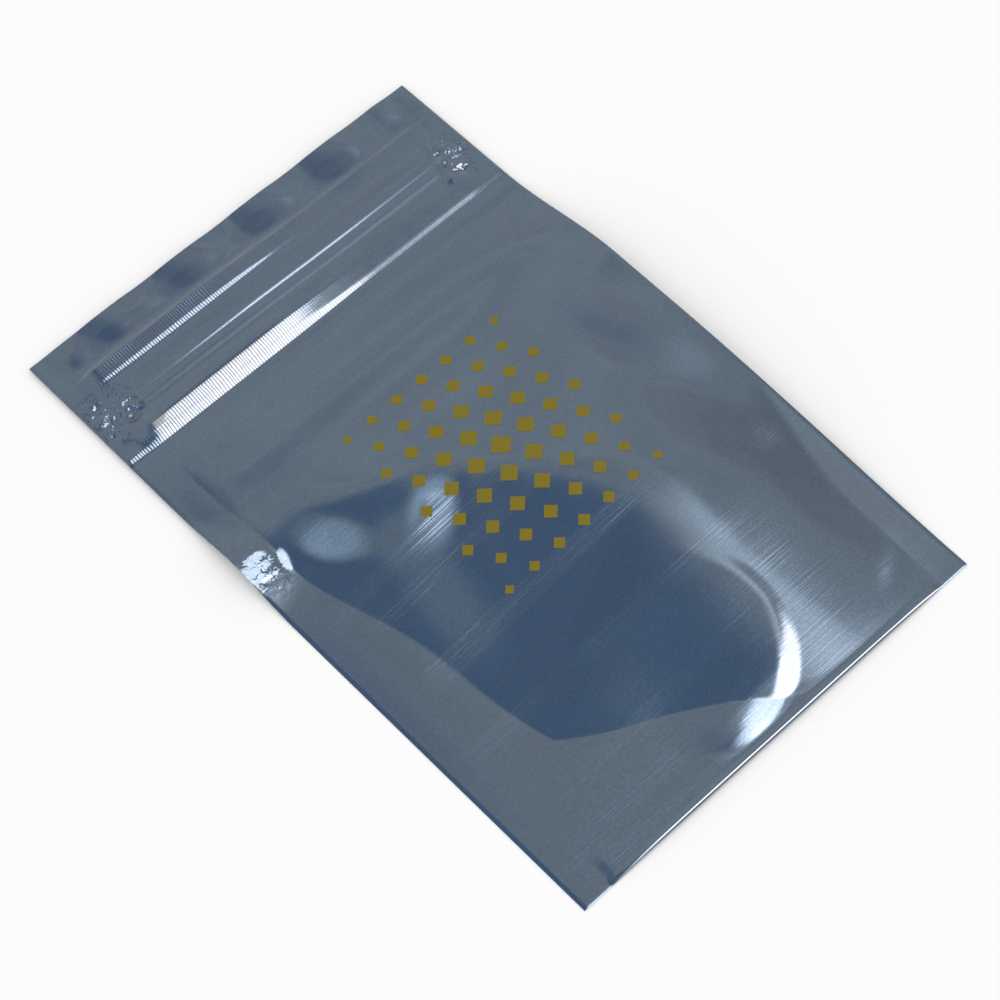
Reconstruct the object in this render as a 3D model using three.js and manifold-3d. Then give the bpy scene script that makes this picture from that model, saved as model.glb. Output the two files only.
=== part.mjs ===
// Press-to-close bag of metallised film, lying flat with a little air in it.
// One web of film is folded at the bottom and welded along both sides, and a zip
// profile is welded across it below an open lip, so the bag is one closed piece.
// Millimetres. X runs across the bag, +Y towards the zip, +Z up from the table.

import * as THREE from "three";
import Module from "manifold-3d";

// Bag
const bagWidth = 80;
const bagLength = 127;
const filmGauge = 0.08;
const sealWidth = 5.5;
const foldRadius = 0.45;

// Zip: a low weld that is a ramp, a channel, a flat-topped bead and an upper weld
const lipLength = 8.1;
const tapeWidth = 17.3;
const weldWidth = 3.3;
const lowWeldRise = 1.15;
const upperWeldRise = 0.16;
const weldFullX = -10;
const weldFlatX = 14;
const flatWeldShare = 0.3;
const channelDrop = 0.3;
const beadBottom = 6.9;
const beadTop = 9.7;
const beadEdge = 0.9;
const beadRise = 0.2;
const undersideShare = 0.5;
const crushedEnd = 4;
const crushedInside = 0.4;
const zipLiftRun = 40;

// Lip: it opens towards the mouth in slanting waves
const lipFall = 1.6;
const lipGap = 0.9;
const waveRise = 0.62;
const wavePitch = 15.3;
const waveSlant = 0.45;
const waveStart = 10;
const waveSkew = 0.6;
const lipEdgeRun = 3;

// Crown of the pouch, highest on the right of the middle
const crownRise = 5.4;
const crownX = 10;
const crownY = -20;
const crownUp = 38;
const crownDown = 35;
const crownSoft = 0.3;
const shelfRise = 1.6;
const shelfRun = 22;
const leftPower = 4.2;
const rightPower = 1.7;

// Film that leans up from the crease round the air
const creaseTip = [-33.6, 9.5];
const creaseCorner = [-24.2, -41.5];
const creaseFoot = [-1.5, -55.6];
const creasePower = 4;
const sideWave = { rise: 0.7, length: 6.5, start: 0.6 };
const footWave = { rise: 0.5, length: 4 };
const leanSlope = 0.166;
const leanBlend = 0.6;

// Round toe of the air and the ledge round it, just above the fold
const toeX = -3;
const toeY = -44.5;
const toeRise = 0.7;
const toeInner = 14.2;
const toeOuter = 18.5;
const toeTop = -26;
const toeBottom = -46;
const ledgeRise = 0.45;
const ledgeInner = 15;
const ledgeBottom = -57;
const ledgeLeft = -20;
const ledgeRight = -4;

// Small dent in the leaning film, and the raised flap at its upper tip
const dentDepth = 0.35;
const dentX = -8;
const dentY = 0.5;
const dentReach = 6;
const flapRise = 1.45;
const flapX = -33;
const flapY = 4.6;
const flapLength = 11;
const flapHalf = 6.4;
const flapSlant = 0.25;
const flapFront = 0.24;

// Edges that stand off the table
const rightEdgeLift = 4.2;
const rightLiftRun = 26;
const rightFade = 0.8;
const undersideStart = 12;
const flatSealStart = -12;
const flatSealEnd = -45;
const leftEdgeLift = 2;
const leftLiftY = 13;
const leftLiftRun = 7.5;
const leftReach = 16;
const leftReachPower = 1.6;

// Facets
const acrossCells = 32;
const bodyRows = 42;
const lipRows = 6;

const halfWidth = bagWidth / 2;
const halfLength = bagLength / 2;
const sealInner = halfWidth - sealWidth;
const tapeTop = halfLength - lipLength;
const tapeBottom = tapeTop - tapeWidth;
const zipLift = undersideShare * lowWeldRise;

const clamp = (value) => Math.min(1, Math.max(0, value));

function ease(from, to, value) {
  const share = clamp((value - from) / (to - from));
  return share * share * (3 - 2 * share);
}

function hump(value, centre, spread) {
  return Math.exp(-(((value - centre) / spread) ** 2));
}

function softMin(a, b, blend) {
  const share = clamp(0.5 + (0.5 * (b - a)) / blend);
  return b * (1 - share) + a * share - blend * share * (1 - share);
}

function fromLine(x, y, [startX, startY], [endX, endY]) {
  const runX = endX - startX;
  const runY = endY - startY;
  return ((y - startY) * runX - (x - startX) * runY) / Math.hypot(runX, runY);
}

// Distance inside the crease, from its long side and its foot with a rounded corner
function liftDistance(x, y) {
  const waveX = sideWave.rise * Math.sin(y / sideWave.length + sideWave.start);
  const waveY = footWave.rise * Math.sin(x / footWave.length);
  const side = Math.max(fromLine(x + waveX, y, creaseTip, creaseCorner), 1e-6);
  const foot = Math.max(fromLine(x, y, creaseCorner, creaseFoot) + waveY, 1e-6);
  return (side * foot) / (side ** creasePower + foot ** creasePower) ** (1 / creasePower);
}

function leftSheet(x, y) {
  const reach = clamp((leftReach - halfWidth - x) / leftReach);
  return leftEdgeLift * hump(y, leftLiftY, leftLiftRun) * reach ** leftReachPower;
}

function rightEdge(y) {
  const fade = ease(-halfLength - foldRadius, 0, y) ** rightFade;
  return rightEdgeLift * ease(tapeBottom, tapeBottom - rightLiftRun, y) * fade;
}

// Height of the crown along the bag: a dome, a long slope to the fold, a shelf to the zip
function crestHeight(y) {
  const above = y - crownY;
  if (above <= 0) {
    const slope = Math.hypot(above / crownDown, crownSoft) - crownSoft;
    return Math.max(0, crownRise * (1 - slope));
  }
  const share = clamp(above / crownUp);
  const shelf = shelfRise * ease(tapeBottom, tapeBottom - shelfRun, y);
  return Math.max(0, shelf + (crownRise - shelfRise) * (1 - share * share));
}

// Height of the crown at a place: it falls to the left seal and runs out to the right edge
function crownHeight(x, y) {
  const crest = crestHeight(y);
  const fromCrest = x - crownX;
  const fromToe = Math.hypot(x - toeX, y - toeY);
  const toe = toeRise * ease(toeOuter, toeInner, fromToe) * ease(toeTop, toeBottom, y);
  if (fromCrest < 0) {
    const across = clamp(1 - Math.abs(fromCrest / (sealInner + crownX)) ** leftPower);
    return crest * across + leftSheet(x, y) + toe;
  }
  const reach = halfWidth - sealWidth * ease(flatSealStart, flatSealEnd, y);
  const share = clamp(fromCrest / (reach - crownX));
  return crest - (crest - rightEdge(y)) * share ** rightPower + toe;
}

// Height of the front film over the pouch
function airHeight(x, y) {
  const along = (x - flapX + flapSlant * (y - flapY)) / flapLength;
  const aside = clamp(1 - ((y - flapY) / flapHalf) ** 2);
  const flap = flapRise * clamp(1 - along) * ease(0, flapFront, along) * aside ** 2;
  const leaning = leanSlope * liftDistance(x, y) + leftSheet(x, y) + flap;
  const dent = dentDepth * hump(x, dentX, dentReach) * hump(y, dentY, dentReach);
  const round = ease(toeOuter, ledgeInner, Math.hypot(x - toeX, y - toeY));
  const ledge = ledgeRise * round * ease(toeBottom, ledgeBottom, y) * ease(ledgeLeft, ledgeRight, x);
  const body = softMin(crownHeight(x, y), leaning, leanBlend) - dent + ledge;
  return Math.max(body, leftSheet(x, y));
}

// Rise of the film over the zip tape, measured up from its lower edge
function zipHeight(x, y) {
  const up = y - tapeBottom;
  if (up < 0) {
    return 0;
  }
  const share = flatWeldShare + (1 - flatWeldShare) * ease(weldFlatX, weldFullX, x);
  const low = lowWeldRise * clamp(up / weldWidth) - channelDrop * ease(weldWidth, beadBottom, up);
  const beadIn = ease(beadBottom - beadEdge, beadBottom + beadEdge, up);
  const beadOut = ease(beadTop + beadEdge, beadTop - beadEdge, up);
  const upper = upperWeldRise * clamp((up - tapeWidth + weldWidth) / weldWidth);
  const fall = Math.exp(-Math.max(0, up - tapeWidth) / lipFall);
  const wholeTo = sealInner - crushedInside * crushedEnd;
  const whole = ease(wholeTo + crushedEnd, wholeTo, Math.abs(x));
  const flat = 2 * filmGauge * clamp(up) * fall;
  return flat + whole * ((share * low + upper) * fall + beadRise * beadIn * beadOut);
}

// Gap between the two plies of the lip
function lipOpening(x, y) {
  const inside = ease(sealInner + lipEdgeRun, sealInner - lipEdgeRun, Math.abs(x));
  const up = clamp((y - tapeTop) / lipLength);
  const place = (2 * Math.PI * (x - waveStart + waveSlant * (y - tapeTop))) / wavePitch;
  const wave = 0.5 + 0.5 * Math.cos(place - waveSkew * Math.sin(place));
  const size = waveRise * (1 + x / bagWidth) * ease(tapeTop, halfLength, y);
  return inside * (lipGap * up + size * wave);
}

// Front and back heights of the outside of the film
function skinHeights(x, y) {
  const base = zipLift * ease(tapeBottom - zipLiftRun, tapeBottom, y);
  const zip = zipHeight(x, y);
  const inSeal = Math.abs(x) >= sealInner;
  let air = 0;
  let under = 0;
  if (y < tapeBottom) {
    const acrossFold = clamp(1 - Math.abs(x / sealInner) ** 6);
    const fold = 2 * foldRadius * acrossFold * ease(4 * foldRadius, 0, y + halfLength);
    air = x > sealInner ? crownHeight(x, y) : airHeight(x, y);
    air = inSeal ? air : Math.max(air, fold);
    const edge = x > sealInner ? air : crownHeight(sealInner, y) * ease(undersideStart, sealInner, x);
    under = leftSheet(x, y) + edge;
  }
  let front = base + 2 * filmGauge + air + zip + lipOpening(x, y);
  let back = Math.max(0, base + under - undersideShare * zip);
  back = Math.min(back, front - 2 * filmGauge);
  const fromFold = y + halfLength;
  if (fromFold < foldRadius) {
    const middle = (front + back) / 2;
    const share = Math.sqrt(1 - (1 - fromFold / foldRadius) ** 2);
    const roundness = Math.max(0.34, share);
    front = middle + (front - middle) * roundness;
    back = middle + (back - middle) * roundness;
  }
  return { front, back };
}

function spread(from, to, count) {
  return Array.from({ length: count }, (_, i) => from + ((to - from) * (i + 1)) / count);
}

// Grid lines across the bag: two cells in each side weld, the rest evenly between
const columns = [
  -halfWidth,
  ...spread(-halfWidth, -sealInner, 2),
  ...spread(-sealInner, sealInner, acrossCells),
  ...spread(sealInner, halfWidth, 2),
];

// Grid lines up the bag: the round of the fold, the pouch, the zip and the lip
const rows = [
  -halfLength,
  ...[45, 70, 90].map((angle) => -halfLength + foldRadius * (1 - Math.cos((angle * Math.PI) / 180))),
  ...spread(-halfLength + foldRadius, tapeBottom, bodyRows),
  tapeBottom + weldWidth,
  tapeBottom + (weldWidth + beadBottom - beadEdge) / 2,
  ...spread(tapeBottom + beadBottom - beadEdge, tapeBottom + beadBottom + beadEdge, 2),
  ...spread(tapeBottom + beadTop - beadEdge, tapeBottom + beadTop + beadEdge, 2),
  tapeTop - weldWidth,
  tapeTop,
  ...spread(tapeTop, halfLength, lipRows),
];

// Closed body between two height fields on one grid
function slab(gridX, gridY, topOf, bottomOf) {
  const positions = [];
  const indices = [];
  const wide = gridX.length;
  const layer = wide * gridY.length;
  for (const heightOf of [topOf, bottomOf]) {
    for (const y of gridY) {
      for (const x of gridX) {
        positions.push(x, y, heightOf(x, y));
      }
    }
  }
  const height = (i) => positions[i * 3 + 2];
  for (let j = 0; j < gridY.length - 1; j += 1) {
    for (let i = 0; i < wide - 1; i += 1) {
      const a = j * wide + i;
      const b = a + 1;
      const c = a + wide + 1;
      const d = a + wide;
      const rising = Math.abs(height(a) - height(c)) <= Math.abs(height(b) - height(d));
      if (rising) {
        indices.push(a, b, c, a, c, d);
        indices.push(layer + a, layer + c, layer + b, layer + a, layer + d, layer + c);
      } else {
        indices.push(a, b, d, b, c, d);
        indices.push(layer + a, layer + d, layer + b, layer + b, layer + d, layer + c);
      }
    }
  }
  const rim = [];
  for (let i = 0; i < wide - 1; i += 1) {
    rim.push([i, i + 1]);
    rim.push([layer - 1 - i, layer - 2 - i]);
  }
  for (let j = 0; j < gridY.length - 1; j += 1) {
    rim.push([(j + 1) * wide - 1, (j + 2) * wide - 1]);
    rim.push([(j + 1) * wide, j * wide]);
  }
  for (const [a, b] of rim) {
    indices.push(a, layer + a, layer + b, a, layer + b, b);
  }
  return { positions, indices };
}

const wasm = await Module();
wasm.setup();

function solidOf({ positions, indices }) {
  return new wasm.Manifold(
    new wasm.Mesh({
      numProp: 3,
      vertProperties: new Float32Array(positions),
      triVerts: new Uint32Array(indices),
    }),
  );
}

function geometryOf(solid) {
  const mesh = solid.getMesh();
  const geometry = new THREE.BufferGeometry();
  geometry.setAttribute("position", new THREE.BufferAttribute(new Float32Array(mesh.vertProperties), 3));
  geometry.setIndex(new THREE.BufferAttribute(new Uint32Array(mesh.triVerts), 1));
  geometry.computeVertexNormals();
  return geometry;
}

// The mouth: the space between the two plies of the lip, down to the closed bead
const mouthColumns = columns.filter((x) => Math.abs(x) < sealInner - 1);
const mouthRows = [...rows.filter((y) => y > tapeBottom + beadTop + beadEdge / 2), halfLength + 1];
const mouth = slab(
  mouthColumns,
  mouthRows,
  (x, y) => skinHeights(x, Math.min(y, halfLength)).front - filmGauge,
  (x, y) => skinHeights(x, Math.min(y, halfLength)).back + filmGauge,
);
const outside = slab(
  columns,
  rows,
  (x, y) => skinHeights(x, y).front,
  (x, y) => skinHeights(x, y).back,
);
const bag = solidOf(outside).subtract(solidOf(mouth));

const film = new THREE.MeshStandardMaterial({ color: 0x6f7d8e, roughness: 0.22, metalness: 0.85 });
const filmBag = new THREE.Mesh(geometryOf(bag), film);
filmBag.name = "film_bag";

const group = new THREE.Group();
group.add(filmBag);

export default group;
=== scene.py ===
import math

import bpy
import numpy as np
from mathutils import Matrix, Vector


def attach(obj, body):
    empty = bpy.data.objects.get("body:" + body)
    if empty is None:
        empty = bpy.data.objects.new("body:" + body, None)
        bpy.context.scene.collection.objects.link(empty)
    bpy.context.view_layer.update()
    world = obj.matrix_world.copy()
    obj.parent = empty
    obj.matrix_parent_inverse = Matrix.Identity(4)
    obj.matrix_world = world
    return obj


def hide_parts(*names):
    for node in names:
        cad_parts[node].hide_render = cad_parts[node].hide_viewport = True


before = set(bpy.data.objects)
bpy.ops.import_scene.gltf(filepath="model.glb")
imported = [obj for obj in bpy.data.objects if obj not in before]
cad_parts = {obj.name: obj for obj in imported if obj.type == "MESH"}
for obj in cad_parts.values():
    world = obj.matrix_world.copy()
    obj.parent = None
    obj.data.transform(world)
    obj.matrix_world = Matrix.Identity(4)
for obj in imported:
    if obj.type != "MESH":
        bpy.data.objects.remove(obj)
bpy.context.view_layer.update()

print("frame loaded")

# the bag in millimetres, formed as the solid is, with some small forms shaped more finely
bag = {
    "width": 80.0, "length": 127.0, "gauge": 0.08, "seal": 5.5, "foldRadius": 0.45,
    # zip
    "lip": 8.1, "tape": 17.3, "under": 0.5, "zipRun": 40.0, "weld": 3.3, "lowWeldRise": 1.15,
    "upperWeldRise": 0.38, "weldLeft": -10.0, "weldRight": 14.0, "weldShare": 0.3, "channelDrop": 0.3,
    "beadBottom": 6.9, "beadTop": 9.7, "beadEdge": 0.9, "beadRise": 0.2,
    "crushedEnd": 4.0, "crushedInside": 0.4,
    # open lip
    "lipFall": 0.8, "lipGap": 0.5, "lipOpening": 0.7, "lipWave": 0.45, "lipEase": 0.4,
    "lipPitch": 15.3, "lipSlant": 0.45, "lipCrest": 10.0, "lipSkew": 0.6, "lipEdgeRun": 3.0,
    # crown of the pouch and the shelf below the zip
    "crown": 5.4, "crownX": 10.0, "crownY": -20.0, "crownUp": 38.0, "crownDown": 35.0, "crownSoft": 0.3,
    "shelf": 1.6, "shelfRun": 14.0, "shelfBlend": 1.0, "leftPower": 4.2, "rightPower": 1.7,
    # film that leans up from the crease round the air
    "creaseTip": (-33.6, 9.5), "creaseCorner": (-24.2, -41.5), "creaseFoot": (-1.5, -55.6),
    "sideWave": 0.7, "sideWaveLength": 6.5, "sideWaveStart": 0.6, "footWave": 0.5, "footWaveLength": 4.0,
    "creasePower": 4, "lean": 0.166, "leanBlend": 0.6,
    # round toe and the ledge round it
    "toeRise": 0.7, "toeX": -3.0, "toeY": -44.5, "toeIn": 14.2, "toeOut": 18.5, "toeTop": -26.0,
    "toeBottom": -46.0, "toeLeft": -20.0, "toeRight": -5.0,
    "ledge": 0.45, "ledgeInner": 15.0, "ledgeBottom": -57.0, "ledgeLeft": -14.0, "ledgeRight": -2.0,
    "dent": 0.35, "dentX": -8.0, "dentY": 0.5, "dentReach": 6.0,
    # edges that stand off the table
    "rightLift": 4.2, "rightRun": 26.0, "rightFade": 0.8, "undersideStart": 12.0,
    "flatSealStart": -12.0, "flatSealEnd": -45.0,
    "leftLift": 2.0, "leftY": 13.0, "leftRun": 7.5, "leftReach": 16.0, "leftReachPower": 1.6,
    # bottom fold
    "foldRun": 4.0, "foldPower": 6, "foldBlend": 0.3, "foldBlendEdge": 2.0, "foldBlendTop": -56.0,
    "foldBlendBottom": -61.0, "leastBlend": 0.001,
}
halfWidth = bag["width"] / 2
halfLength = bag["length"] / 2
sealInner = halfWidth - bag["seal"]
tapeTop = halfLength - bag["lip"]
tapeBottom = tapeTop - bag["tape"]
beadMiddle = (bag["beadBottom"] + bag["beadTop"]) / 2 + tapeBottom
zipLift = bag["under"] * bag["lowWeldRise"]


def ease(start, end, value):
    share = np.clip((value - start) / (end - start), 0, 1)
    return share * share * (3 - 2 * share)


def hump(value, centre, spread):
    return np.exp(-(((value - centre) / spread) ** 2))


def softMin(a, b, blend):
    share = np.clip(0.5 + 0.5 * (b - a) / blend, 0, 1)
    return b * (1 - share) + a * share - blend * share * (1 - share)


def fromLine(x, y, start, end):
    runX, runY = end[0] - start[0], end[1] - start[1]
    return ((y - start[1]) * runX - (x - start[0]) * runY) / math.hypot(runX, runY)


# how far a point of the film is inside the crease that bounds the air
def liftDistance(x, y):
    tip, corner, foot = bag["creaseTip"], bag["creaseCorner"], bag["creaseFoot"]
    power = bag["creasePower"]
    sideWave = bag["sideWave"] * np.sin(y / bag["sideWaveLength"] + bag["sideWaveStart"])
    footWave = bag["footWave"] * np.sin(x / bag["footWaveLength"])
    side = np.maximum(fromLine(x + sideWave, y, tip, corner), 1e-6)
    low = np.maximum(fromLine(x, y, corner, foot) + footWave, 1e-6)
    return side * low / (side ** power + low ** power) ** (1 / power)


def leftSheet(x, y):
    reach = np.clip((-x - (halfWidth - bag["leftReach"])) / bag["leftReach"], 0, 1)
    return bag["leftLift"] * hump(y, bag["leftY"], bag["leftRun"]) * reach ** bag["leftReachPower"]


def rightEdge(y):
    fade = ease(-halfLength - bag["foldRadius"], 0, y) ** bag["rightFade"]
    return bag["rightLift"] * ease(tapeBottom, tapeBottom - bag["rightRun"], y) * fade


def crestHeight(y):
    above = y - bag["crownY"]
    soft = bag["crownSoft"]
    low = bag["crown"] * (1 - np.sqrt((above / bag["crownDown"]) ** 2 + soft * soft) + soft)
    shelf = bag["shelf"] * ease(tapeBottom, tapeBottom - bag["shelfRun"], y)
    dome = (bag["crown"] - bag["shelf"]) * (1 - (above / bag["crownUp"]) ** 2)
    high = shelf - softMin(0, -dome, bag["shelfBlend"])
    return np.maximum(0, np.where(above > 0, high, low))


def crownHeight(x, y):
    crest = crestHeight(y)
    fromCrest = x - bag["crownX"]
    leftShare = np.abs(fromCrest / (sealInner + bag["crownX"]))
    left = crest * np.clip(1 - leftShare ** bag["leftPower"], 0, 1)
    reach = halfWidth - bag["seal"] * ease(bag["flatSealStart"], bag["flatSealEnd"], y)
    share = np.clip(fromCrest / (reach - bag["crownX"]), 0, 1)
    right = crest - (crest - rightEdge(y)) * share ** bag["rightPower"]
    fromToe = np.hypot(x - bag["toeX"], y - bag["toeY"])
    toe = bag["toeRise"] * ease(bag["toeOut"], bag["toeIn"], fromToe)
    toe = toe * ease(bag["toeTop"], bag["toeBottom"], y) * ease(bag["toeLeft"], bag["toeRight"], x)
    return np.where(fromCrest < 0, left + leftSheet(x, y), right) + toe


def airHeight(x, y):
    leaning = bag["lean"] * liftDistance(x, y) + leftSheet(x, y)
    reach = bag["dentReach"]
    dent = bag["dent"] * hump(x, bag["dentX"], reach) * hump(y, bag["dentY"], reach)
    fromToe = np.hypot(x - bag["toeX"], y - bag["toeY"])
    ledge = bag["ledge"] * ease(bag["toeOut"], bag["ledgeInner"], fromToe)
    ledge = ledge * ease(bag["toeBottom"], bag["ledgeBottom"], y)
    ledge = ledge * ease(bag["ledgeLeft"], bag["ledgeRight"], x)
    body = softMin(crownHeight(x, y), leaning, bag["leanBlend"]) - dent + ledge
    return np.maximum(body, leftSheet(x, y))


# a low weld that is a ramp, a channel, a flat-topped bead and an upper weld
def zipHeight(x, y):
    s = y - tapeBottom
    share = bag["weldShare"] + (1 - bag["weldShare"]) * ease(bag["weldRight"], bag["weldLeft"], x)
    low = bag["lowWeldRise"] * np.clip(s / bag["weld"], 0, 1)
    low = low - bag["channelDrop"] * ease(bag["weld"], bag["beadBottom"], s)
    edge = bag["beadEdge"]
    bead = ease(bag["beadBottom"] - edge, bag["beadBottom"] + edge, s)
    bead = bead * ease(bag["beadTop"] + edge, bag["beadTop"] - edge, s)
    upper = bag["upperWeldRise"] * np.clip((s - bag["tape"] + bag["weld"]) / bag["weld"], 0, 1)
    fall = np.exp(-np.maximum(0, s - bag["tape"]) / bag["lipFall"])
    end, within = bag["crushedEnd"], bag["crushedInside"]
    whole = ease(sealInner + (1 - within) * end, sealInner - within * end, np.abs(x))
    flat = 2 * bag["gauge"] * np.clip(s, 0, 1) * fall
    return np.where(s < 0, 0, flat + whole * (share * (low + upper) * fall + bag["beadRise"] * bead))


# small lumps and pits, in millimetres, at the crushed zip ends and on the left seal
lumpFields = {
    "leftZipEnd": {"at": (-sealInner - 1.2, beadMiddle), "reach": (2.9, 3.6), "count": 26, "rise": 0.2},
    "rightZipEnd": {"at": (sealInner + 0.6, beadMiddle), "reach": (2.6, 3.4), "count": 26, "rise": 0.16},
    "leftSeal": {"at": (-halfWidth + 3, bag["leftY"] - 4), "reach": (2.2, 3.2), "count": 16, "rise": 0.07},
}
lumpSizes = (0.45, 1.1)


def lumps(x, y):
    total = np.zeros_like(x)
    dice = np.random.default_rng(11)
    for field in lumpFields.values():
        for i in range(field["count"]):
            lumpX = field["at"][0] + field["reach"][0] * dice.uniform(-1, 1)
            lumpY = field["at"][1] + field["reach"][1] * dice.uniform(-1, 1)
            wide, long = dice.uniform(*lumpSizes, 2)
            height = field["rise"] * dice.uniform(0.5, 1) * (1 if i % 2 else -1)
            total += height * np.exp(-((x - lumpX) / wide) ** 2 - ((y - lumpY) / long) ** 2)
    return total


# slanting waves in the open lip
def lipWave(x, y):
    inside = ease(sealInner + bag["lipEdgeRun"], sealInner - bag["lipEdgeRun"], np.abs(x))
    up = np.clip((y - tapeTop) / bag["lip"], 0, 1)
    phase = 2 * np.pi * (x - bag["lipCrest"] + bag["lipSlant"] * (y - tapeTop)) / bag["lipPitch"]
    crest = (0.5 + 0.5 * np.cos(phase - bag["lipSkew"] * np.sin(phase))) ** 2
    droop = bag["lipWave"] * (1 - crest) * up * (1 - bag["lipEase"] * up)
    return inside * (bag["lipGap"] * ease(0, bag["lipOpening"], up) - droop)


# heights of the front and the back of the film above the table
def skinHeights(x, y):
    base = zipLift * ease(tapeBottom - bag["zipRun"], tapeBottom, y)
    inside = np.abs(x) < sealInner
    thick = 2 * bag["gauge"]
    air = airHeight(x, y)
    fold = 2 * bag["foldRadius"] * (1 - np.clip(np.abs(x / sealInner), 0, 1) ** bag["foldPower"])
    fold = fold * ease(bag["foldRun"] * bag["foldRadius"], 0, y + halfLength)
    blend = bag["foldBlend"] * ease(0, bag["foldBlendEdge"], sealInner - np.abs(x))
    blend = blend * ease(bag["foldBlendTop"], bag["foldBlendBottom"], y) + bag["leastBlend"]
    air = np.where(inside, -softMin(-air, -fold, blend), air)
    air = np.where(x > sealInner, crownHeight(x, y), air)
    air = np.where(y < tapeBottom, air, 0)
    zipRise = zipHeight(x, y)
    dents = lumps(x, y)
    front = base + thick + air + zipRise + lipWave(x, y) + dents
    weldEdge = crownHeight(np.full_like(y, sealInner), y)
    rightRise = np.where(x > sealInner, air, weldEdge * ease(bag["undersideStart"], sealInner, x))
    under = np.where(y < tapeBottom, leftSheet(x, y) + rightRise, 0)
    back = np.maximum(0, base + under - bag["under"] * zipRise + dents)
    return front, np.minimum(back, front - thick)


# a smooth sheet from points in millimetres
def sheetPiece(name, points, faces):
    mesh = bpy.data.meshes.new(name)
    mesh.from_pydata((points / 1000).tolist(), [], faces)
    mesh.polygons.foreach_set("use_smooth", [True] * len(mesh.polygons))
    mesh.update()
    piece = bpy.data.objects.new(name, mesh)
    bpy.context.collection.objects.link(piece)
    return piece


filmCells = {
    "seals": (14, 15), "between": 172, "foldSteps": 12,
    "frontLip": 20, "frontZip": 96, "frontBody": 286, "backBody": 30, "backZip": 40, "backLip": 6,
}


# the film is one web: down the front, round the fold and up the back
def foldedFilm():
    radius = bag["foldRadius"]
    foldY = -halfLength + radius
    columns = np.concatenate([
        np.linspace(-halfWidth, -sealInner, filmCells["seals"][0], endpoint=False),
        np.linspace(-sealInner, sealInner, filmCells["between"], endpoint=False),
        np.linspace(sealInner, halfWidth, filmCells["seals"][1]),
    ])
    frontRows = np.concatenate([
        np.linspace(halfLength, tapeTop, filmCells["frontLip"], endpoint=False),
        np.linspace(tapeTop, tapeBottom, filmCells["frontZip"], endpoint=False),
        np.linspace(tapeBottom, foldY, filmCells["frontBody"]),
    ])
    backRows = np.concatenate([
        np.linspace(foldY, tapeBottom, filmCells["backBody"], endpoint=False),
        np.linspace(tapeBottom, tapeTop, filmCells["backZip"], endpoint=False),
        np.linspace(tapeTop, halfLength, filmCells["backLip"]),
    ])
    web = []
    for y in frontRows:
        heights, _ = skinHeights(columns, np.full_like(columns, y))
        web.append(np.stack([columns, np.full_like(columns, y), heights], 1))
    top, bottom = skinHeights(columns, np.full_like(columns, foldY))
    middle = (top + bottom) / 2
    for step in range(1, filmCells["foldSteps"]):
        angle = math.pi * step / filmCells["foldSteps"]
        along = np.full_like(columns, foldY - radius * math.sin(angle))
        web.append(np.stack([columns, along, middle + (top - bottom) / 2 * math.cos(angle)], 1))
    for y in backRows:
        _, heights = skinHeights(columns, np.full_like(columns, y))
        web.append(np.stack([columns, np.full_like(columns, y), heights], 1))
    web = np.array(web)
    # the two plies meet along the welded side edges
    for column in (0, -1):
        y = web[:, column, 1]
        front, back = skinHeights(np.full_like(y, columns[column]), y)
        web[:, column, 2] = (front + back) / 2
    rows, wide = web.shape[:2]
    faces = []
    for i in range(rows - 1):
        for j in range(wide - 1):
            a = i * wide + j
            faces.append((a, a + wide, a + wide + 1, a + 1))
    return sheetPiece("film", web.reshape(-1, 3), faces)


def newMaterial(name):
    material = bpy.data.materials.new(name)
    material.use_nodes = True
    return material, material.node_tree, material.node_tree.nodes["Principled BSDF"]


# adds a maths node and joins it up, with plain numbers set on its sockets
def mathNode(tree, operation, *values):
    node = tree.nodes.new("ShaderNodeMath")
    node.operation = operation
    for socket, value in zip(node.inputs, values):
        if isinstance(value, (int, float)):
            socket.default_value = value
        else:
            tree.links.new(value, socket)
    return node.outputs[0]


def smoothRamp(tree, value, start, end):
    ramp = tree.nodes.new("ShaderNodeMapRange")
    ramp.interpolation_type = "SMOOTHSTEP"
    ramp.inputs["From Min"].default_value = start
    ramp.inputs["From Max"].default_value = end
    tree.links.new(value, ramp.inputs["Value"])
    return ramp.outputs["Result"]


# 0 outside and 1 inside a span, with soft ends
def span(tree, value, outerLow, low, high, outerHigh):
    rising = smoothRamp(tree, value, outerLow, low)
    falling = smoothRamp(tree, value, outerHigh, high)
    return mathNode(tree, "MULTIPLY", rising, falling)


# noise about 0, stretched along the axes
def noise(tree, place, scale, size, detail=2.0):
    stretch = tree.nodes.new("ShaderNodeMapping")
    stretch.inputs["Scale"].default_value = scale
    tree.links.new(place, stretch.inputs["Vector"])
    texture = tree.nodes.new("ShaderNodeTexNoise")
    texture.inputs["Scale"].default_value = size
    texture.inputs["Detail"].default_value = detail
    tree.links.new(stretch.outputs["Vector"], texture.inputs["Vector"])
    return mathNode(tree, "SUBTRACT", texture.outputs["Fac"], 0.5)


def evenNoise(tree, place, size, detail=2.0):
    return noise(tree, place, (1, 1, 1), size, detail)


def splitVector(tree, vector):
    parts = tree.nodes.new("ShaderNodeSeparateXYZ")
    tree.links.new(vector, parts.inputs["Vector"])
    return parts.outputs["X"], parts.outputs["Y"], parts.outputs["Z"]


def vectorNode(tree, operation, first, second=None):
    node = tree.nodes.new("ShaderNodeVectorMath")
    node.operation = operation
    tree.links.new(first, node.inputs[0])
    if second is not None:
        tree.links.new(second, node.inputs["Scale"] if operation == "SCALE" else node.inputs[1])
    return node.outputs["Value"] if operation == "LENGTH" else node.outputs["Vector"]


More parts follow.
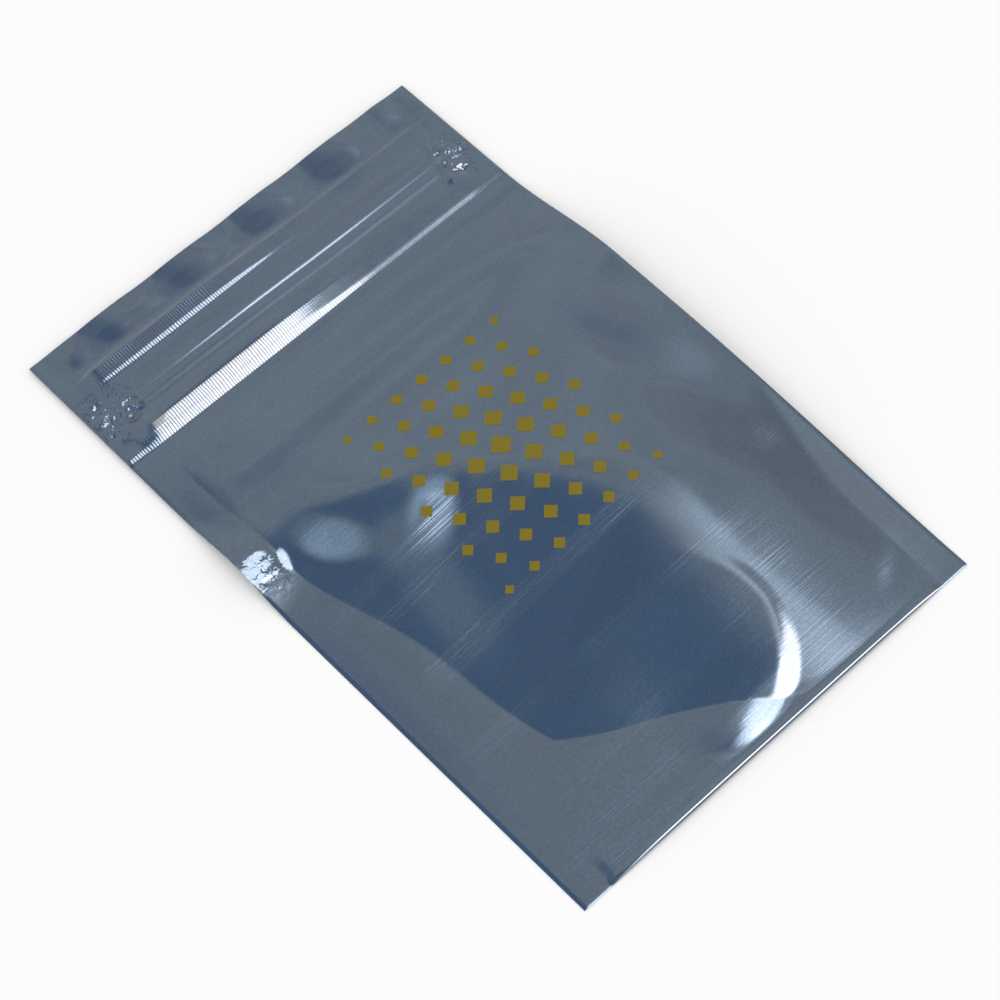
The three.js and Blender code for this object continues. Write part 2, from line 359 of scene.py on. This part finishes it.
# rises and pitches in metres, as the bump needs them
filmFinish = {
    "base": (0.075, 0.112, 0.158, 1), "roughness": 0.11, "coatRoughness": 0.06,
    "streakScale": (22, 3200, 22), "streakRise": 1.1e-5, "streakBoost": 5.0, "bandScale": (6, 95, 6),
    "grainSize": 900, "grainRise": 2.2e-6, "speckleSize": 2400, "speckle": 0.5,
    "ribPitch": 0.0005, "ribRise": 7e-6, "ribWander": 9.0, "ribWanderSize": 420, "ribMargin": 0.0002,
    "hatchPitch": 0.0009, "hatchRise": 0.4e-6, "hatchEdge": 0.0005,
    "crumpleRise": 7.5e-4, "crumpleSize": 1050,
    "bandSpan": (0.02, 0.22, 9, 10), "frontSpan": (0.0, 0.3, 2, 3),
}

# where the draw lines are strongest, in metres
drawBands = {
    "upper": {"from": -0.0102, "to": -0.008, "strength": 0.9},
    "middle": {"from": -0.023, "to": -0.02, "strength": 1.3},
    "lower": {"from": -0.057, "to": -0.047, "strength": 0.3},
    "edge": 0.001, "across": (-0.034, -0.028, 0.008, 0.014), "otherAcross": (-0.039, -0.034, 0.016, 0.024),
}

# shallow dimples that tip the film: middle and half sizes in millimetres, turn in degrees, slope
dimples = {
    "flapPatch": {"at": (-26.0, 6.2), "reach": (6.4, 8.4), "turn": 22, "slope": (-0.17, 0.1), "core": 0.3},
    "flapGlint": {"at": (-33.4, 9.0), "reach": (1.3, 3.2), "turn": -15, "slope": (-0.1, 0.4)},
    "sealGlint": {"at": (-37.2, 11.0), "reach": (5.0, 3.8), "turn": 35, "slope": (-0.05, 0.2)},
    "hollowGlow": {"at": (-11.5, -1.5), "reach": (10.5, 6.5), "turn": 35, "slope": (-0.16, 0.19)},
    "hollowSheen": {"at": (-21.0, -13.0), "reach": (12.0, 30.0), "turn": -10, "slope": (-0.13, 0.0)},
    "hollowTop": {"at": (-20.0, -0.5), "reach": (7.0, 7.0), "turn": 0, "slope": (-0.06, 0.0)},
    "leftShade": {"at": (-36.8, 19.5), "reach": (6.0, 13.0), "turn": 0, "slope": (0.07, 0.14)},
    "leftSeal": {"at": (-38.0, -20.0), "reach": (5.0, 45.0), "turn": 0, "slope": (0.03, 0.0)},
    "leftTop": {"at": (-27.0, 25.5), "reach": (12.0, 6.0), "turn": 0, "slope": (-0.05, -0.03)},
    "rightBand": {"at": (31.0, -3.0), "reach": (9.0, 24.0), "turn": 20, "slope": (0.11, 0.09)},
    "rightFoot": {"at": (32.0, -42.0), "reach": (6.0, 22.0), "turn": 0, "slope": (-0.05, -0.05)},
    "rightOval": {"at": (32.7, -28.0), "reach": (4.6, 6.2), "turn": 0, "slope": (0.0, 0.075)},
    "rightGlint": {"at": (31.6, -55.0), "reach": (7.5, 3.0), "turn": 36, "slope": (0.0, 0.075)},
    "rightGlow": {"at": (19.5, -38.0), "reach": (8.0, 22.0), "turn": 0, "slope": (0.0, 0.03)},
    "rightSeal": {"at": (37.5, -44.0), "reach": (4.0, 24.0), "turn": 0, "slope": (0.0, -0.06)},
    "upperWeld": {"at": (-16.0, 52.7), "reach": (34.0, 0.7), "turn": 0, "slope": (0.0, 0.4)},
    "tapeLine": {"at": (-29.0, 48.3), "reach": (8.0, 0.8), "turn": 0, "slope": (0.14, 0.04)},
    "beadLine": {"at": (0.0, 47.3), "reach": (70.0, 0.7), "turn": 0, "slope": (0.0, 0.42)},
    "channel": {"at": (-20.0, 41.9), "reach": (24.0, 1.4), "turn": 0, "slope": (0.1, 0.03)},
    "lowChannel": {"at": (4.0, 42.4), "reach": (60.0, 2.6), "turn": 0, "slope": (0.06, 0.05)},
    "highChannel": {"at": (4.0, 50.2), "reach": (60.0, 2.2), "turn": 0, "slope": (0.05, 0.05)},
    "crescentStart": {"at": (0.0, -58.8), "reach": (10.0, 3.4), "turn": 8, "slope": (0.0, 0.2)},
    "rightMiddle": {"at": (28.0, -20.0), "reach": (7.0, 20.0), "turn": 14, "slope": (-0.1, 0.05)},
    "lowWeldStart": {"at": (-36.5, 38.7), "reach": (6.0, 0.6), "turn": 0, "slope": (0.0, 0.5)},
    "lowWeldCorner": {"at": (-33.4, 42.8), "reach": (4.6, 2.8), "turn": -30, "slope": (0.0, -0.4)},
}
dimpleCore = 0.1  # the share of a dimple that is at its full slope

# dark scallops along the lip, tipped more towards the right: middle and half width
lipScallops = {
    "left": (-28.5, 7.5), "wide": (-12.0, 11.0), "middle": (6.0, 8.0), "right": (20.5, 7.0),
    "end": (35.0, 5.5),
}
scallop = {
    "y": 59.0, "tall": 7.0, "turn": 18, "tip": 0.016, "tipGain": 0.0013, "slopeY": 0.11, "core": 0.45,
}
for name, (middle, half) in lipScallops.items():
    tip = scallop["tip"] + scallop["tipGain"] * (middle - lipScallops["left"][0])
    dimples[f"{name}Scallop"] = {
        "at": (middle, scallop["y"]), "reach": (half, scallop["tall"]), "turn": scallop["turn"],
        "slope": (tip, scallop["slopeY"]), "core": scallop["core"],
    }

crumples = {
    "leftZipEnd": {"at": (-35.5, 47.4), "reach": (5.5, 7.0), "turn": 0, "strength": 1.0},
    "rightZipEnd": {"at": (36.0, 46.8), "reach": (4.6, 6.4), "turn": 0, "strength": 0.9},
    "leftSeal": {"at": (-37.0, 9.0), "reach": (4.0, 6.5), "turn": 0, "strength": 0.25},
}


# 1 in the middle of a soft oval and 0 outside it
def oval(tree, place, patch):
    inside = tree.nodes.new("ShaderNodeMapping")
    inside.vector_type = "TEXTURE"
    inside.inputs["Location"].default_value = (patch["at"][0] / 1000, patch["at"][1] / 1000, 0)
    inside.inputs["Rotation"].default_value = (0, 0, math.radians(patch["turn"]))
    inside.inputs["Scale"].default_value = (patch["reach"][0] / 1000, patch["reach"][1] / 1000, 1000)
    tree.links.new(place, inside.inputs["Vector"])
    away = vectorNode(tree, "LENGTH", inside.outputs["Vector"])
    return smoothRamp(tree, away, 1.0, patch.get("core", dimpleCore))


# the film's own normal, tipped by the dimples on the front
def dimpledNormal(tree, place):
    normal = tree.nodes.new("ShaderNodeNewGeometry").outputs["Normal"]
    front = span(tree, splitVector(tree, normal)[2], *filmFinish["frontSpan"])
    total = normal
    for dimple in dimples.values():
        mask = mathNode(tree, "MULTIPLY", oval(tree, place, dimple), front)
        lean = tree.nodes.new("ShaderNodeCombineXYZ")
        lean.inputs["X"].default_value = -dimple["slope"][0]
        lean.inputs["Y"].default_value = -dimple["slope"][1]
        tipped = vectorNode(tree, "SCALE", lean.outputs["Vector"], mask)
        total = vectorNode(tree, "ADD", total, tipped)
    return vectorNode(tree, "NORMALIZE", total)


# draw lines across the web, stronger in some bands
def drawLines(tree, place, x, y):
    streaks = noise(tree, place, filmFinish["streakScale"], 1.0, 3.0)
    bands = noise(tree, place, filmFinish["bandScale"], 1.0, 1.0)
    boost = span(tree, bands, *filmFinish["bandSpan"])
    drawn = span(tree, x, *drawBands["across"])
    boost = mathNode(tree, "MULTIPLY", boost, span(tree, x, *drawBands["otherAcross"]))
    edge = drawBands["edge"]
    for name in ("upper", "middle", "lower"):
        low, high = drawBands[name]["from"], drawBands[name]["to"]
        band = mathNode(tree, "MULTIPLY", span(tree, y, low - edge, low, high, high + edge), drawn)
        band = mathNode(tree, "MULTIPLY", band, drawBands[name]["strength"])
        boost = mathNode(tree, "ADD", boost, band)
    boost = mathNode(tree, "MULTIPLY_ADD", boost, filmFinish["streakBoost"], 1.0)
    streaks = mathNode(tree, "MULTIPLY", streaks, boost)
    return mathNode(tree, "MULTIPLY", streaks, filmFinish["streakRise"])


# fine ribs along the two welds of the tape
def weldRibs(tree, place, x, y):
    weld, margin = bag["weld"] / 1000, filmFinish["ribMargin"]
    low, high = tapeBottom / 1000, tapeTop / 1000
    lowBand = span(tree, y, low - margin, low, low + weld, low + weld + margin)
    highBand = span(tree, y, high - weld - margin, high - weld, high, high + margin)
    wander = noise(tree, place, (1, 0.4, 1), filmFinish["ribWanderSize"])
    wander = mathNode(tree, "MULTIPLY", wander, filmFinish["ribWander"])
    wave = mathNode(tree, "MULTIPLY", x, 2 * math.pi / filmFinish["ribPitch"])
    wave = mathNode(tree, "SINE", mathNode(tree, "ADD", wave, wander))
    ribs = mathNode(tree, "MULTIPLY", wave, mathNode(tree, "ADD", lowBand, highBand))
    return mathNode(tree, "MULTIPLY", ribs, filmFinish["ribRise"])


# a fine slanting hatch pressed into the side seals
def sealHatch(tree, x, y):
    edge = sealInner / 1000
    inSeal = span(tree, mathNode(tree, "ABSOLUTE", x), edge, edge + filmFinish["hatchEdge"], 1, 2)
    slant = mathNode(tree, "MULTIPLY", mathNode(tree, "ADD", x, y), 2 * math.pi / filmFinish["hatchPitch"])
    hatch = mathNode(tree, "MULTIPLY", mathNode(tree, "SINE", slant), inSeal)
    return mathNode(tree, "MULTIPLY", hatch, filmFinish["hatchRise"])


# crumpled film at the crushed ends of the zip and on the left seal
def crumpledFilm(tree, place):
    creases = evenNoise(tree, place, filmFinish["crumpleSize"], 1.0)
    creases = mathNode(tree, "MULTIPLY", creases, filmFinish["crumpleRise"])
    crumpled = 0
    for patch in crumples.values():
        share = mathNode(tree, "MULTIPLY", oval(tree, place, patch), patch["strength"])
        crumpled = mathNode(tree, "ADD", share, crumpled)
    return mathNode(tree, "MULTIPLY", creases, crumpled)


def filmMaterial():
    material, tree, shader = newMaterial("metallised_film")
    nodes, links = tree.nodes, tree.links
    shader.inputs["Metallic"].default_value = 1.0
    shader.inputs["Roughness"].default_value = filmFinish["roughness"]
    shader.inputs["Coat Weight"].default_value = 1.0
    shader.inputs["Coat Roughness"].default_value = filmFinish["coatRoughness"]
    place = nodes.new("ShaderNodeTexCoord").outputs["Object"]
    x, y, _ = splitVector(tree, place)

    streaks = drawLines(tree, place, x, y)
    grain = evenNoise(tree, place, filmFinish["grainSize"])
    grain = mathNode(tree, "MULTIPLY", grain, filmFinish["grainRise"])
    height = mathNode(tree, "ADD", streaks, grain)
    pressed = mathNode(tree, "ADD", weldRibs(tree, place, x, y), sealHatch(tree, x, y))
    height = mathNode(tree, "ADD", height, pressed)
    height = mathNode(tree, "ADD", height, crumpledFilm(tree, place))
    bump = nodes.new("ShaderNodeBump")
    bump.inputs["Strength"].default_value = 1.0
    bump.inputs["Distance"].default_value = 1.0
    links.new(height, bump.inputs["Height"])
    links.new(dimpledNormal(tree, place), bump.inputs["Normal"])
    links.new(bump.outputs["Normal"], shader.inputs["Normal"])

    # slight speckle of the metal layer
    speckle = evenNoise(tree, place, filmFinish["speckleSize"])
    speckle = mathNode(tree, "MULTIPLY_ADD", speckle, filmFinish["speckle"], 1.0)
    tone = nodes.new("ShaderNodeMix")
    tone.data_type = "RGBA"
    tone.blend_type = "MULTIPLY"
    tone.inputs["Factor"].default_value = 1.0
    tone.inputs["A"].default_value = filmFinish["base"]
    links.new(speckle, tone.inputs["B"])
    links.new(tone.outputs["Result"], shader.inputs["Base Color"])
    return material


film = foldedFilm()
film.data.materials.append(filmMaterial())
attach(film, "root")
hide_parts("film_bag")
print("film", len(film.data.polygons), "quads")


# a plain lattice of lozenges printed on the front, in millimetres
ink = {
    "centreX": 2.5, "centreY": -1.0, "pitchX": 5.2, "pitchY": 4.6, "columns": 7, "rows": 9,
    "largest": 2.1, "smallest": 0.9, "above": 0.02, "cells": 6,
    "colour": (0.185, 0.145, 0.012, 1), "roughness": 0.55, "specular": 0.15,
}


def printedLattice():
    cells = ink["cells"]
    steps = np.linspace(-1, 1, cells + 1)
    u, v = np.meshgrid(steps, steps, indexing="ij")
    across, along, faces = [], [], []
    lastColumn, lastRow = ink["columns"] - 1, ink["rows"] - 1
    for row in range(ink["rows"]):
        for column in range(ink["columns"] - row % 2):
            gridX = column - lastColumn / 2 + 0.5 * (row % 2)
            gridY = row - lastRow / 2
            fromMiddle = math.hypot(gridX / lastColumn, gridY / lastRow) * math.sqrt(2)
            half = ink["largest"] + (ink["smallest"] - ink["largest"]) * fromMiddle
            start = len(across) * (cells + 1) ** 2
            across.append(ink["centreX"] + gridX * ink["pitchX"] + half * (u - v) / 2)
            along.append(ink["centreY"] + gridY * ink["pitchY"] + half * (u + v) / 2)
            for i in range(cells):
                for j in range(cells):
                    a = start + i * (cells + 1) + j
                    faces.append((a, a + cells + 1, a + cells + 2, a + 1))
    x, y = np.array(across).ravel(), np.array(along).ravel()
    top, _ = skinHeights(x, y)
    return sheetPiece("printed_lattice", np.stack([x, y, top + ink["above"]], 1), faces)


def plainMaterial(name, finish):
    material, _, shader = newMaterial(name)
    shader.inputs["Base Color"].default_value = finish["colour"]
    shader.inputs["Roughness"].default_value = finish["roughness"]
    shader.inputs["Specular IOR Level"].default_value = finish["specular"]
    return material


lattice = printedLattice()
lattice.data.materials.append(plainMaterial("olive_ink", ink))
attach(lattice, "root")
print("print", len(lattice.data.polygons), "quads")


# the floor lies just under the bag
ground = {
    "size": 6, "height": -0.00002,
    "colour": (0.93, 0.93, 0.93, 1), "roughness": 0.9, "specular": 0.1,
}
bpy.ops.mesh.primitive_plane_add(size=ground["size"], location=(0, 0, ground["height"]))
floor = bpy.context.object
floor.name = "floor"
floor.data.materials.append(plainMaterial("floor", ground))

# what the film mirrors, laid out on the level plane above the bag: each zone's soft edges
# are left, right, near and far
studio = {
    "level": 0.98, "lowest": 0.05, "drift": 0.8, "driftSize": 8.0,
    "shadeColour": (0.43, 0.56, 0.77, 1),
    "shade": ((-0.26, -0.14), (0.17, 0.26), (-0.16, -0.02), (0.46, 0.54)),
    "glowStrength": 1.2, "glow": ((0.22, 0.36), (0.38, 0.50), (-1.6, -1.3), (0.10, 0.30)),
    "panelStrength": 6.0, "panel": ((0.16, 0.28), (0.80, 1.0), (-1.6, -1.3), (-0.09, 0.03)),
    "panelColour": (1.25, 1.04, 0.93, 1),
    "sideDrop": 0.22, "side": ((0.58, 0.80), (1.0, 1.3), (-9, -8), (0.3, 0.5)),
}


def studioWorld():
    world = bpy.data.worlds.new("studio")
    bpy.context.scene.world = world
    world.use_nodes = True
    tree = world.node_tree
    nodes, links = tree.nodes, tree.links
    background = nodes["Background"]
    toSky = nodes.new("ShaderNodeTexCoord").outputs["Generated"]
    skyX, skyY, skyZ = splitVector(tree, toSky)
    up = mathNode(tree, "MAXIMUM", skyZ, studio["lowest"])
    across = mathNode(tree, "DIVIDE", skyX, up)
    along = mathNode(tree, "DIVIDE", skyY, up)

    def zone(name):
        left, right, near, far = studio[name]
        wide = span(tree, across, *left, *right)
        deep = span(tree, along, *near, *far)
        return mathNode(tree, "MULTIPLY", wide, deep)

    def colourMix(factor, first, second):
        mix = nodes.new("ShaderNodeMix")
        mix.data_type = "RGBA"
        links.new(factor, mix.inputs["Factor"])
        for socket, value in (("A", first), ("B", second)):
            if isinstance(value, tuple):
                mix.inputs[socket].default_value = value
            else:
                links.new(value, mix.inputs[socket])
        return mix.outputs["Result"]

    white = (1, 1, 1, 1)
    panel = zone("panel")
    mirroredColour = colourMix(zone("shade"), white, studio["shadeColour"])
    mirroredColour = colourMix(panel, mirroredColour, studio["panelColour"])

    plane = nodes.new("ShaderNodeCombineXYZ")
    links.new(across, plane.inputs["X"])
    links.new(along, plane.inputs["Y"])
    drift = evenNoise(tree, plane.outputs["Vector"], studio["driftSize"])
    strength = mathNode(tree, "MULTIPLY_ADD", drift, studio["drift"], 1.0)
    strength = mathNode(tree, "MULTIPLY_ADD", zone("side"), -studio["sideDrop"], strength)
    strength = mathNode(tree, "MULTIPLY_ADD", zone("glow"), studio["glowStrength"], strength)
    strength = mathNode(tree, "MULTIPLY_ADD", panel, studio["panelStrength"], strength)

    # only the film's reflections see the zones
    path = nodes.new("ShaderNodeLightPath")
    mirrored = path.outputs["Is Glossy Ray"]
    seen = mathNode(tree, "MAXIMUM", path.outputs["Is Camera Ray"], path.outputs["Is Transmission Ray"])
    plain = mathNode(tree, "MULTIPLY_ADD", seen, 1 - studio["level"], studio["level"])
    links.new(colourMix(mirrored, white, mirroredColour), background.inputs["Color"])
    power = nodes.new("ShaderNodeMix")
    links.new(mirrored, power.inputs["Factor"])
    links.new(plain, power.inputs["A"])
    links.new(strength, power.inputs["B"])
    links.new(power.outputs["Result"], background.inputs["Strength"])


studioWorld()

# a soft lamp from the upper left gives the floor its shadow
softLamp = {"place": (-1.6, 1.2, 2.4), "size": 1.2, "energy": 9.0}
light = bpy.data.lights.new("softbox", "AREA")
light.size = softLamp["size"]
light.energy = softLamp["energy"]
lamp = bpy.data.objects.new("softbox", light)
lamp.location = softLamp["place"]
lamp.rotation_euler = (-Vector(softLamp["place"])).to_track_quat("-Z", "Y").to_euler()
lamp.visible_glossy = False
bpy.context.collection.objects.link(lamp)
print("lights set")

# the camera's place in metres, and the directions to its right and its top
eye = {
    "lens": 104.04, "sensor": 36, "place": (-0.14171815, -0.17730226, 0.38538093),
    "right": (0.72940564, -0.68289038, -0.04035011), "up": (0.60820378, 0.62037148, 0.49520439),
}
camera = bpy.data.cameras.new("camera")
camera.lens = eye["lens"]
camera.sensor_width = eye["sensor"]
view = bpy.data.objects.new("camera", camera)
right, up = Vector(eye["right"]), Vector(eye["up"])
turn = Matrix((right, up, right.cross(up))).transposed().to_4x4()
view.matrix_world = Matrix.Translation(eye["place"]) @ turn
bpy.context.collection.objects.link(view)
bpy.context.scene.camera = view
bpy.context.scene.view_settings.view_transform = "Standard"
